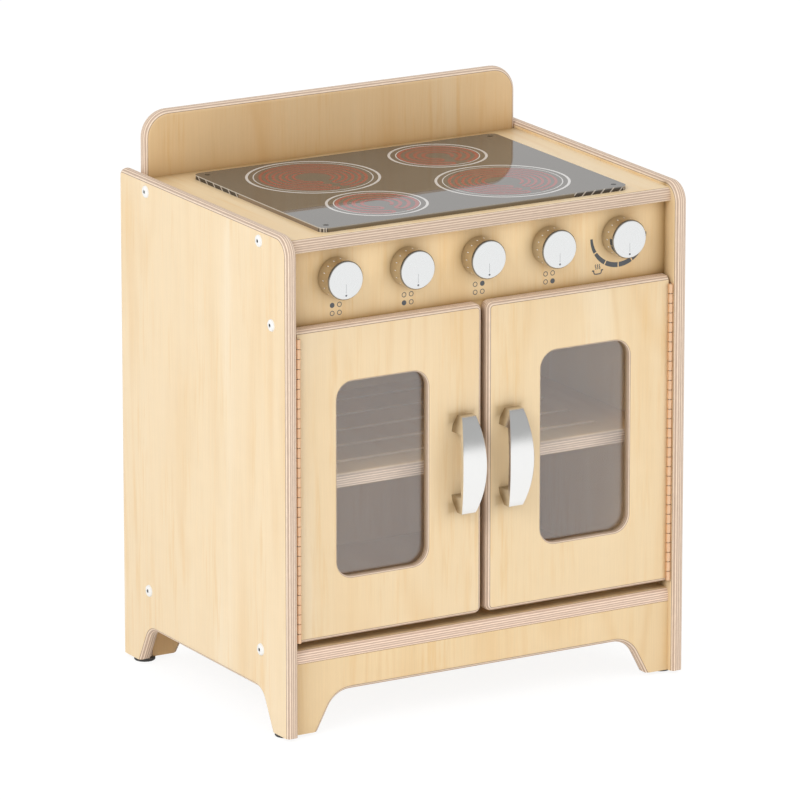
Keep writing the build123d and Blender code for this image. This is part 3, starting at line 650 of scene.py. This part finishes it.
def plainFinish(name, colours, roughness, scale, bumpStrength, sockets):
    material, tree, shader = newMaterial(name)
    uneven = unevenIn(tree, scale)
    finish = strayFinish(tree, uneven, colours, roughness)
    normal = bump(tree, uneven["Fine"], bumpStrength, bumpDepth)
    setInputs(tree, shader, {**finish, "Normal": normal, **sockets})
    return material


plain = {name: plainFinish(name, *look) for name, look in plainLooks.items()}
smallParts = {
    "zincPlate": ["shelf_pins", "barrel_nuts", "back_screws", "catch_screws",
                  "left_hinge_pin", "right_hinge_pin"],
    "blackOxide": ["hob_screws"],
    "whiteNylon": ["spindle_bushes"],
    "brownMoulding": ["catch_body"],
    "ferrite": ["catch_magnets"],
    "darkRubber": ["glides"],
    "beechDowel": ["apron_dowels"],
    "copperPlate": ["left_hinge_frame_leaf", "right_hinge_frame_leaf", "frame_leaf_screws"],
}
for side in sides:
    smallParts["zincPlate"] += [side + "_window_screws", side + "_handle_screws", side + "_strike_plate"]
    smallParts["whiteNylon"].append(side + "_window_clips")
    smallParts["copperPlate"] += [side + "_hinge_door_leaf", side + "_door_leaf_screws"]
knobNumbers = range(1, 6)
smallParts["zincPlate"] += [f"knob_{i}_spindle" for i in knobNumbers]
for finish, names in smallParts.items():
    for name in names:
        finishNode(name, plain[finish])
print("small parts finished")


boltLook = {
    "colours": ((0.86, 0.86, 0.84), (0.92, 0.92, 0.91)),
    "roughness": (0.26, 0.38),
    "scale": 200.0,
    "recess": (0.03, 0.03, 0.03, 1),
    "recessDepth": 0.5 * mm,
    "wall": 0.02,        # the recess's wall has less than this of the outward direction
    "flat": 0.98,        # and its bottom has more than this
}


def finishBolts(side, look):
    # white caps whose hexagon recess is dark inside
    material, tree, shader = newMaterial(side + "_bolt_enamel")
    low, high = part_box(side + "_bolts")
    outer = max(abs(low[0]), abs(high[0]))
    reach = maths(tree, "ABSOLUTE", split(tree, objectPlace(tree))[0])
    inside = smoothStep(tree, reach, outer - look["recessDepth"], outer - 2 * look["recessDepth"])
    facing = maths(tree, "ABSOLUTE", trueNormal(tree)[0])
    flat = maths(tree, "GREATER_THAN", facing, look["flat"])
    wall = maths(tree, "LESS_THAN", facing, look["wall"])
    dark = times(tree, inside, maths(tree, "MAXIMUM", flat, wall))
    finish = strayFinish(tree, unevenIn(tree, look["scale"]), look["colours"], look["roughness"])
    finish["Base Color"] = mixColours(tree, dark, finish["Base Color"], look["recess"])
    setInputs(tree, shader, finish)
    finishNode(side + "_bolts", material)


for side in sides:
    finishBolts(side, boltLook)


handleLook = {
    "colours": ((0.81, 0.81, 0.80), (0.91, 0.91, 0.90)),
    "roughness": 0.06,
    "bump": (0.05, 0.05 * mm),
    "grain": 2,
    "fineness": 2200.0,
    "length": 30.0,
    "footRange": (0.30, 0.85),
    "footShadeAndReflection": (0.50, 0.42, 0.32, 1),
}
capLook = {
    "colours": ((0.77, 0.78, 0.78), (0.83, 0.84, 0.84)),
    "roughness": (0.16, 0.22),      # share of the rings, and the least
    "bump": (0.04, 0.05 * mm),
    "fineness": 2600.0,
}


def finishBrushed(name, look):
    # satin metal with its lines along one axis
    material, tree, shader = newMaterial(name + "_satin")
    axes = split(tree, objectPlace(tree))
    lines = useGroup(tree, brushedGroup, {
        "Place": alongGrain(tree, axes, look["grain"]),
        "Fineness": look["fineness"],
        "Length": look["length"],
    })
    # painted shade and painted reflection of the door wood: the feet get darker and browner towards the
    # door
    low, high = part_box(name)
    near = smoothStep(tree, axes[1], *(low[1] + share * (high[1] - low[1]) for share in look["footRange"]))
    colour = colourPair(tree, lines["Shade"], *look["colours"])
    setInputs(tree, shader, {
        "Base Color": mixColours(tree, near, colour, multiplied(tree, colour, look["footShadeAndReflection"])),
        "Roughness": maths(tree, "ADD", lines["Roughness"], look["roughness"]),
        "Normal": bump(tree, lines["Shade"], *look["bump"]),
        "Metallic": 1.0,
    })
    finishNode(name, material)


def finishTurned(name, look):
    # a turned face: fine rings round the knob's own axis
    material, tree, shader = newMaterial(name + "_satin")
    away = vectorMaths(tree, "SUBTRACT", objectPlace(tree), tuple(middleOf(name)))[0]
    radius = vectorMaths(tree, "LENGTH", stretched(tree, away, (1, 0, 1)))["Value"]
    inputs = {"W": times(tree, radius, look["fineness"]), "Scale": 1.0, "Detail": 2.0}
    rings = addNode(tree, "ShaderNodeTexNoise", inputs, noise_dimensions="1D").outputs[0]
    setInputs(tree, shader, {
        "Base Color": colourPair(tree, rings, *look["colours"]),
        "Roughness": maths(tree, "MULTIPLY_ADD", rings, *look["roughness"]),
        "Normal": bump(tree, rings, *look["bump"]),
        "Metallic": 1.0,
    })
    finishNode(name, material)


for side in sides:
    finishBrushed(side + "_handle", handleLook)
for i in knobNumbers:
    finishTurned(f"knob_{i}_cap", capLook)


chromeLook = {
    # painted reflection: the chrome's warm brown tint stands in for the wood it reflects
    "colours": ((0.56, 0.52, 0.45), (0.64, 0.59, 0.51)),
    "roughness": (0.04, 0.09),
    "scale": 90.0,
    "neck": (2.0 * mm, 0.4 * mm),
    "neckPaintedShade": (0.42, 0.38, 0.33, 1),
}


def makeChrome(look):
    material, tree, shader = newMaterial("chromedMoulding")
    finish = strayFinish(tree, unevenIn(tree, look["scale"]), look["colours"], look["roughness"])
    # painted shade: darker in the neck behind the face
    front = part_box("knob_1_body")[0][1]
    y = split(tree, objectPlace(tree))[1]
    neck = smoothStep(tree, y, *(front + behind for behind in look["neck"]))
    colour = finish["Base Color"]
    colour = mixColours(tree, neck, colour, multiplied(tree, colour, look["neckPaintedShade"]))
    setInputs(tree, shader, {**finish, "Base Color": colour, "Metallic": 1.0})
    return material


chrome = makeChrome(chromeLook)
for i in knobNumbers:
    finishNode(f"knob_{i}_body", chrome)


hobLook = {
    "top": ((0.093, 0.081, 0.067), (0.105, 0.092, 0.077)),
    "side": ((0.20, 0.145, 0.095), (0.26, 0.19, 0.13)),
    "frontPaintedShade": (0.66, 0.68, 0.60, 1),
    "scale": 30.0,
    "ior": 1.45,
    "roughness": (0.012, 0.035),
    "dashPitch": {"left": 17.0 * mm, "front": 12.0 * mm},
    "dashRun": {"left": 104.0 * mm, "front": 70.0 * mm},
    "dashGap": (0.10, 0.05),
    "dashDark": (0.045, 0.036, 0.028, 1),
    "dashLight": (0.50, 0.45, 0.40, 1),
    "rounded": 0.12,     # where the directions along X and Y multiply to more than this
    "ridges": 4.0,
    "ridgeEdge": (0.15, 0.35),
    "ridgeReflection": (0.50, 0.44, 0.37, 1),
    "rim": 1.3 * mm,
    "rimAmount": {"left": 0.90, "front": 0.35},
    "rimHighlight": (0.62, 0.60, 0.56, 1),
}


def finishHob(look):
    # dark gloss on top; the polished edge shows short dark and light dashes near two corners
    material, tree, shader = newMaterial("smokedAcrylic")
    low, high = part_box("hob_plate")
    uneven = unevenIn(tree, look["scale"])
    finish = strayFinish(tree, uneven, look["top"], look["roughness"])
    axes, normal = split(tree, objectPlace(tree)), trueNormal(tree)
    onLeft = maths(tree, "LESS_THAN", normal[0], -0.5)

    def bySide(values):
        return mixValues(tree, onLeft, values["front"], values["left"])

    # painted reflection of the worktop wood gives the edge its brown, and painted shade makes the front
    # edge darker than the left one
    side = colourPair(tree, uneven["Slow"], *look["side"])
    side = mixColours(tree, onLeft, multiplied(tree, side, look["frontPaintedShade"]), side)

    # the run starts at the rear corner on the left edge and at the right corner on the front edge
    run = bySide({"front": minus(tree, high[0], axes[0]), "left": minus(tree, high[1], axes[1])})
    slanted = maths(tree, "ADD", run, minus(tree, axes[2], low[2]))
    along = maths(tree, "DIVIDE", slanted, bySide(look["dashPitch"]))
    gap = smoothStep(tree, maths(tree, "PINGPONG", along, 0.5), *look["dashGap"])
    dashes = mixColours(tree, gap, look["dashDark"], look["dashLight"])
    near = maths(tree, "LESS_THAN", run, bySide(look["dashRun"]))
    faces = maths(tree, "MAXIMUM", onLeft, maths(tree, "LESS_THAN", normal[1], -0.5))
    side = mixColours(tree, times(tree, near, faces), side, dashes)

    # painted reflections: upright ridges of light in the rounded corners, by the way the face looks
    turned = maths(tree, "ABSOLUTE", times(tree, normal[0], normal[1]))
    rounded = maths(tree, "GREATER_THAN", turned, look["rounded"])
    ridge = maths(tree, "PINGPONG", times(tree, normal[0], look["ridges"]), 0.5)
    isLight = smoothStep(tree, ridge, *look["ridgeEdge"])
    side = mixColours(tree, rounded, side, mixColours(tree, isLight, look["dashDark"], look["ridgeReflection"]))

    # painted highlight along the top of the edge, stronger on the left
    rim = smoothStep(tree, axes[2], high[2] - look["rim"], high[2] - 0.5 * look["rim"])
    side = mixColours(tree, times(tree, rim, bySide(look["rimAmount"])), side, look["rimHighlight"])
    upright = maths(tree, "LESS_THAN", maths(tree, "ABSOLUTE", normal[2]), 0.5)
    finish["Base Color"] = mixColours(tree, upright, finish["Base Color"], side)
    setInputs(tree, shader, {**finish, "IOR": look["ior"]})
    finishNode("hob_plate", material)


finishHob(hobLook)


paneLook = {
    "tints": ((0.955, 0.945, 0.930), (0.975, 0.965, 0.950)),
    "scale": 20.0,
    "ior": 1.84,
    "clear": 0.984,
    "shadow": (0.98, 0.97, 0.96, 1),
}


def makePane(look):
    # clear glossy acrylic that lets the light of the room through
    material, tree, shader = newMaterial("smokedPane")
    tint = colourPair(tree, unevenIn(tree, look["scale"])["Slow"], *look["tints"])
    setInputs(tree, shader, {"Base Color": tint, "Roughness": 0.0, "IOR": look["ior"],
                             "Transmission Weight": look["clear"]})
    clear = addNode(tree, "ShaderNodeBsdfTransparent", {"Color": look["shadow"]}).outputs[0]
    path = addNode(tree, "ShaderNodeLightPath")
    seen = shader.outputs[0]
    for ray in ("Is Shadow Ray", "Is Diffuse Ray"):
        seen = addNode(tree, "ShaderNodeMixShader", {0: path.outputs[ray], 1: seen, 2: clear}).outputs[0]
    tree.links.new(seen, tree.nodes["Material Output"].inputs["Surface"])
    return material


pane = makePane(paneLook)
for side in sides:
    finishNode(side + "_window", pane)
print("metals and acrylics finished")


# ---------- prints ----------
def inkFinish(name, first, second, roughness=(0.03, 0.06), scale=120.0):
    material, tree, shader = newMaterial(name)
    setInputs(tree, shader, strayFinish(tree, unevenIn(tree, scale), (first, second), roughness))
    return material


def meshPiece(name, body, material, parts):
    # parts are (points, faces) arrays; they become one mesh
    points, faces, count = [], [], 0
    for partPoints, partFaces in parts:
        points.append(partPoints)
        faces.append(partFaces + count)
        count += len(partPoints)
    points, faces = np.concatenate(points), np.concatenate(faces)
    mesh = bpy.data.meshes.new(name)
    mesh.vertices.add(len(points))
    mesh.vertices.foreach_set("co", points.astype(np.float32).ravel())
    mesh.loops.add(faces.size)
    mesh.loops.foreach_set("vertex_index", faces.astype(np.int32).ravel())
    mesh.polygons.add(len(faces))
    mesh.polygons.foreach_set("loop_start", np.arange(0, faces.size, 4, dtype=np.int32))
    mesh.update(calc_edges=True)
    mesh.validate()
    mesh.shade_flat()
    mesh.materials.append(material)
    piece = bpy.data.objects.new(name, mesh)
    bpy.context.scene.collection.objects.link(piece)
    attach(piece, body)


def filmAlong(path, width, film, across, up, closed=False):
    # a band of ink from film below the surface to film above it, carried along a path;
    # across is the sideways direction at each point and up is the normal
    path, across, up = (np.asarray(values, float) for values in (path, across, up))
    half = np.broadcast_to(np.asarray(width, float) / 2, (len(path),))[:, None]
    edges = [path + across * half + up * film, path - across * half + up * film,
             path - across * half - up * film, path + across * half - up * film]
    points = np.stack(edges, axis=1).reshape(-1, 3)
    steps = len(path) if closed else len(path) - 1
    ring = np.arange(steps)[:, None] * 4
    after = (np.arange(1, steps + 1)[:, None] % len(path)) * 4
    k = np.arange(4)[None, :]
    k2 = (k + 1) % 4
    faces = np.stack([ring + k, ring + k2, after + k2, after + k], axis=2).reshape(-1, 4)
    if not closed:
        last = (len(path) - 1) * 4
        faces = np.concatenate([faces, [[3, 2, 1, 0]], [[last, last + 1, last + 2, last + 3]]])
    return points, faces


def arcPath(centre, radius, start, end, steps, right, forward):
    # the points of an arc in the plane of right and forward, and the way outward at each
    angles = np.linspace(start, end, steps)[:, None]
    away = np.cos(angles) * right + np.sin(angles) * forward
    return np.asarray(centre, float) + away * radius, away


def circlePath(centre, radius, steps, right, forward):
    return arcPath(centre, radius, 0, fullTurn * (steps - 1) / steps, steps, right, forward)


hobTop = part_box("hob_plate")[1][2]
hobMiddle = middleOf("hob_plate")
xAxis, yAxis, zAxis = np.eye(3)
fullTurn = 2 * np.pi

burners = [
    # radius is that of the outer ring, and inner is the inner ring's share of it
    {"offset": (-86.6, 63.5), "radius": 73.5, "inner": 0.90, "turns": 6},
    {"offset": (83.5, 81.6), "radius": 54.5, "inner": 0.86, "turns": 4},
    {"offset": (84.6, -57.3), "radius": 73.5, "inner": 0.90, "turns": 6},
    {"offset": (-86.0, -75.7), "radius": 55.0, "inner": 0.86, "turns": 4},
]
ringLook = {"outerWidth": 3.0, "innerWidth": 1.25, "film": 0.05, "steps": 192}
coilLook = {"outer": 0.80, "inner": 0.30, "width": 0.46, "gap": 9.0, "slot": -84.0, "film": 0.05,
            "steps": (40, 150), "bendSteps": 13}


def burnerCentre(burner):
    x, y = burner["offset"]
    return np.array((hobMiddle[0] + x * mm, hobMiddle[1] + y * mm, hobTop))


def ringParts(burner, look):
    parts = []
    for share, width in ((1.0, look["outerWidth"]), (burner["inner"], look["innerWidth"])):
        radius = burner["radius"] * share * mm
        path, away = circlePath(burnerCentre(burner), radius, look["steps"], xAxis, yAxis)
        parts.append(filmAlong(path, width * mm, look["film"] * mm, away, zAxis, True))
    return parts


def coilPart(burner, look):
    # arcs that run to and fro beside a slot, joined in pairs by half rings
    centre = burnerCentre(burner)
    radii = np.linspace(look["inner"], look["outer"], burner["turns"]) * burner["radius"] * mm
    pitch = radii[1] - radii[0]
    slot = np.radians(look["slot"])
    path, across, end = [], [], None
    for i, r in enumerate(radii):
        # each arc starts where the one inside it ends
        half = (look["gap"] * mm) / (2 * r) + 0.5 * pitch / r
        start = end if i else slot + half
        end = slot + half if i % 2 else slot + fullTurn - half
        way = -1 if i % 2 else 1
        steps = int(look["steps"][0] + look["steps"][1] * r / radii[-1])
        points, away = arcPath(centre, r, start, end, steps, xAxis, yAxis)
        path.append(points)
        across.append(away * way)
        if i + 1 < len(radii):
            # a half ring from this arc's end to the next arc's start
            outward = np.cos(end) * xAxis + np.sin(end) * yAxis
            tangent = (-np.sin(end) * xAxis + np.cos(end) * yAxis) * way
            sweep = np.linspace(0, np.pi, look["bendSteps"])[1:-1, None]
            radial = -np.cos(sweep) * outward + np.sin(sweep) * tangent
            path.append(centre + outward * (r + pitch / 2) + radial * pitch / 2)
            across.append(radial * -way)
    path, across = np.concatenate(path), np.concatenate(across)
    return filmAlong(path, pitch * look["width"], look["film"] * mm, across, zAxis)


ringInk = inkFinish("creamInk", (0.60, 0.58, 0.56), (0.68, 0.66, 0.64))
coilInk = inkFinish("redInk", (0.29, 0.041, 0.036), (0.33, 0.047, 0.041))
rings = [part for burner in burners for part in ringParts(burner, ringLook)]
coils = [coilPart(burner, coilLook) for burner in burners]
meshPiece("hob_ring_prints", "cabinet", ringInk, rings)
meshPiece("hob_coil_prints", "cabinet", coilInk, coils)
print("hob prints made")


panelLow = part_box("control_panel")[0]
knobCentres = [middleOf(f"knob_{i}_cap") for i in knobNumbers]
panelUp = -yAxis        # out of the panel, towards the front
discHole = 0.02         # the share of a disc's radius that stays open in its middle


def discPart(centre, radius, film, steps):
    # a thin closed disc of ink: two circles in front, then the same two behind
    angles = np.linspace(0, fullTurn, steps, endpoint=False)[:, None]
    away = np.cos(angles) * zAxis + np.sin(angles) * xAxis
    inner = discHole * radius
    circles = ((inner, film), (radius, film), (radius, -film), (inner, -film))
    points = np.concatenate([np.asarray(centre, float) + away * r + panelUp * out for r, out in circles])
    i = np.arange(len(circles))[:, None]
    j = np.arange(steps)[None, :]
    nextCircle, nextStep = (i + 1) % len(circles) * steps, (j + 1) % steps
    quads = [i * steps + j, nextCircle + j, nextCircle + nextStep, i * steps + nextStep]
    return points, np.stack(quads, axis=2).reshape(-1, 4)


dotLook = {
    "across": 4.5, "drop": 36.7, "shift": 0.7, "radius": 2.9, "line": 0.84, "film": 0.04,
    "discSteps": 32, "ringSteps": 36,
    # which of the four is filled, for each of the first four knobs: (column, row from the top)
    "filled": [(0, 0), (0, 1), (1, 0), (1, 1)],
}
dialLook = {"outer": 36.3, "thick": 5.6, "thin": 3.2, "swell": 1.3, "parts": 6, "gap": 2.4,
            "film": 0.04, "steps": 17}
potLook = {
    "place": (-26.6, -36.4), "film": 0.04, "line": 1.30, "steps": 25,
    "bowl": (4.9, 4.6),
    "ears": {"length": 2.0, "height": 0.1, "sag": 0.9},
    "steam": {"pitch": 2.5, "wave": 0.5, "start": 0.8, "rise": 5.6, "line": 1.05},
}


def dotParts(look):
    rings, discs = [], []
    film, radius, line = look["film"] * mm, look["radius"] * mm, look["line"] * mm
    for knob, filled in zip(knobCentres, look["filled"]):
        for column in (0, 1):
            for row in (0, 1):
                centre = (
                    knob[0] + (look["shift"] + (2 * column - 1) * look["across"]) * mm,
                    panelLow[1],
                    knob[2] - (look["drop"] + (2 * row - 1) * look["across"]) * mm,
                )
                if (column, row) == filled:
                    discs.append(discPart(centre, radius, film, look["discSteps"]))
                else:
                    path, away = circlePath(centre, radius - line / 2, look["ringSteps"], zAxis, xAxis)
                    rings.append(filmAlong(path, line, film, away, panelUp, True))
    return rings + discs


def dialParts(look):
    # a crescent in parts: its width swells from the ends to the lowest point
    centre = np.array((knobCentres[4][0], panelLow[1], knobCentres[4][2]))
    step, gap = np.pi / look["parts"], np.radians(look["gap"]) / 2
    parts = []
    for i in range(look["parts"]):
        angles = np.linspace(-np.pi + i * step + gap, -np.pi + (i + 1) * step - gap, look["steps"])
        swell = np.abs(np.sin(angles)) ** look["swell"]
        width = look["thin"] + (look["thick"] - look["thin"]) * swell
        away = np.cos(angles)[:, None] * xAxis + np.sin(angles)[:, None] * zAxis
        path = centre + away * ((look["outer"] - width / 2) * mm)[:, None]
        parts.append(filmAlong(path, width * mm, look["film"] * mm, -away, panelUp))
    return parts


def strokePart(look, x, z, width):
    # a line of ink on the panel through the points of x and z, in mm from the icon's middle
    x = knobCentres[4][0] + (look["place"][0] + x) * mm
    z = knobCentres[4][2] + (look["place"][1] + z) * mm
    path = np.stack([x, np.full_like(x, panelLow[1]), z], axis=1)
    along = np.gradient(path, axis=0)
    along /= np.linalg.norm(along, axis=1)[:, None]
    return filmAlong(path, width * mm, look["film"] * mm, np.cross(along, panelUp), panelUp)


def potParts(look):
    # the bowl is the lower half of the curve |x / a|^4 + |z / b|^4 = 1
    t = np.linspace(0, 1, look["steps"])
    turn = np.pi * (1 + t)
    a, b = look["bowl"]
    x, z = a * np.sign(np.cos(turn)) * np.abs(np.cos(turn)) ** 0.5, -b * np.abs(np.sin(turn)) ** 0.5
    parts = [strokePart(look, x, z, look["line"])]
    ears, steam = look["ears"], look["steam"]
    for side in (-1, 1):
        z = ears["height"] - ears["sag"] * np.sin(np.pi * t)
        parts.append(strokePart(look, side * (a + ears["length"] * t), z, look["line"]))
    for column in (-1, 0, 1):
        x = column * steam["pitch"] + steam["wave"] * np.sin(fullTurn * t)
        parts.append(strokePart(look, x, steam["start"] + steam["rise"] * t, steam["line"]))
    return parts


panelInk = inkFinish("greyInk", (0.075, 0.082, 0.090), (0.100, 0.107, 0.115), (0.35, 0.45))
meshPiece("dial_dot_prints", "cabinet", panelInk, dotParts(dotLook))
meshPiece("dial_arc_prints", "cabinet", panelInk, dialParts(dialLook))
meshPiece("pot_icon_print", "cabinet", panelInk, potParts(potLook))
print("panel prints made")


markLook = {"dot": 1.15, "dotDrop": 16.6, "dotSteps": 24,
            "line": 0.25, "lineFrom": 4.0, "lineTo": 14.2, "lineSteps": 5, "film": 0.03}
tickLook = {"count": 16, "length": 2.6, "width": 0.9, "depth": 11.0, "film": 0.05}


def knobMark(index, look):
    # a dot near the lowest point of the cap, and a hair line above it
    low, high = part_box(f"knob_{index}_cap")
    x, y, z = (low[0] + high[0]) / 2, low[1], (low[2] + high[2]) / 2
    film = look["film"] * mm
    dot = discPart((x, y, z - look["dotDrop"] * mm), look["dot"] * mm, film, look["dotSteps"])
    heights = np.linspace(look["lineFrom"], look["lineTo"], look["lineSteps"])
    path = np.array([(x, y, z - height * mm) for height in heights])
    across = np.broadcast_to(-xAxis, path.shape)
    return [dot, filmAlong(path, look["line"] * mm, film, across, panelUp)]


def knobTicks(index, look):
    # short strokes round the knob's side, each along the axis
    low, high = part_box(f"knob_{index}_body")
    centre = np.array(((low[0] + high[0]) / 2, low[1] + look["depth"] * mm, (low[2] + high[2]) / 2))
    radius = (high[0] - low[0]) / 2
    along = np.linspace(-0.5, 0.5, 3)[:, None] * look["length"] * mm * yAxis
    parts = []
    for angle in np.arange(look["count"]) * fullTurn / look["count"]:
        away = np.cos(angle) * xAxis + np.sin(angle) * zAxis
        path = centre + away * radius + along
        across = np.broadcast_to(np.cross(yAxis, away), path.shape)
        parts.append(filmAlong(path, look["width"] * mm, look["film"] * mm, across, away))
    return parts


markInk = inkFinish("markInk", (0.10, 0.105, 0.115), (0.13, 0.135, 0.145), (0.35, 0.45))
tickInk = inkFinish("tickInk", (0.78, 0.77, 0.75), (0.84, 0.83, 0.80), (0.3, 0.4))
for i in knobNumbers:
    meshPiece(f"knob_{i}_mark", f"knob_{i}", markInk, knobMark(i, markLook))
    meshPiece(f"knob_{i}_ticks", f"knob_{i}", tickInk, knobTicks(i, tickLook))
print("knob marks made")
